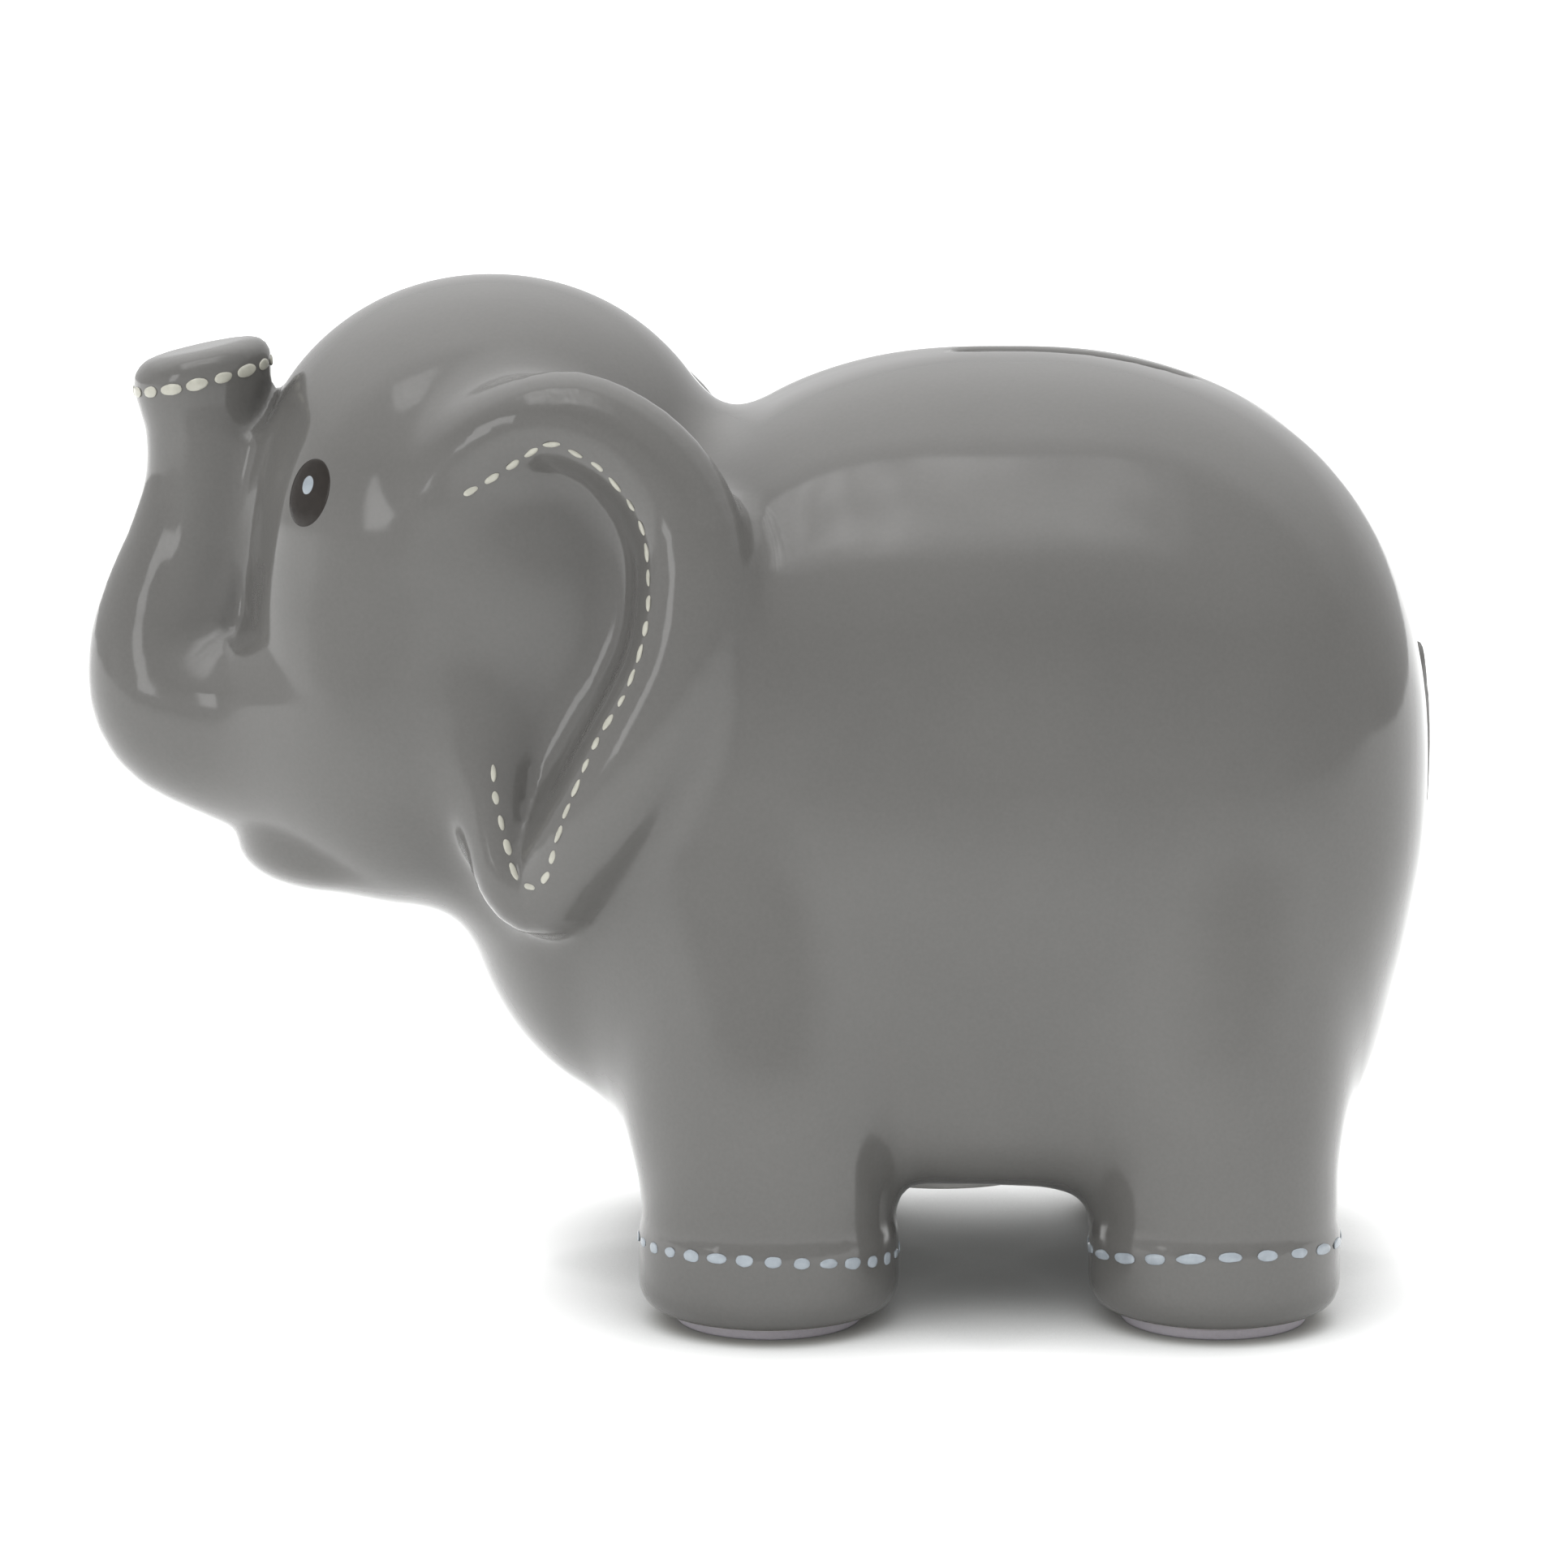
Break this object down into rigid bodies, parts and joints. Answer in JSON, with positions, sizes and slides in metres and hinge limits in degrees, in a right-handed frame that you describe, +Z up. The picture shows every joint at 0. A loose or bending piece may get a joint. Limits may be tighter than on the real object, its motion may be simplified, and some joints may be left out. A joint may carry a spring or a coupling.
{
  "type": "figural animal coin bank",
  "caption": "Hollow glazed ceramic coin bank shaped as a standing baby elephant, with a coin slot on its back and a soft stopper in its belly.",
  "frame": {"origin": "on the floor, under the middle of the bounding box", "axes": "+Z up; the elephant faces -X; its left side is -Y; the figure is symmetric about Y = 0"},
  "size_m": [0.2402, 0.1206, 0.1797],
  "materials": {
    "glaze": "warm grey gloss glaze over a cast body",
    "stopper": "pale translucent soft vinyl, satin",
    "foot_pad": "pale cushion pad, matt"
  },
  "bodies": {
    "bank": {"torso_shell": "glaze", "head_shell": "glaze", "trunk": "glaze", "left_ear": "glaze", "right_ear": "glaze", "tail": "glaze", "front_left_leg": "glaze", "front_right_leg": "glaze", "rear_left_leg": "glaze", "rear_right_leg": "glaze", "front_left_foot_pad": "foot_pad", "front_right_foot_pad": "foot_pad", "rear_left_foot_pad": "foot_pad", "rear_right_foot_pad": "foot_pad"},
    "stopper": {"stopper": "stopper"}
  },
  "joints": [
    {"name": "stopper_pull", "type": "slide", "parent": "bank", "child": "stopper", "axis": [0, 0, -1], "range_m": [0, 0.018]}
  ]
}
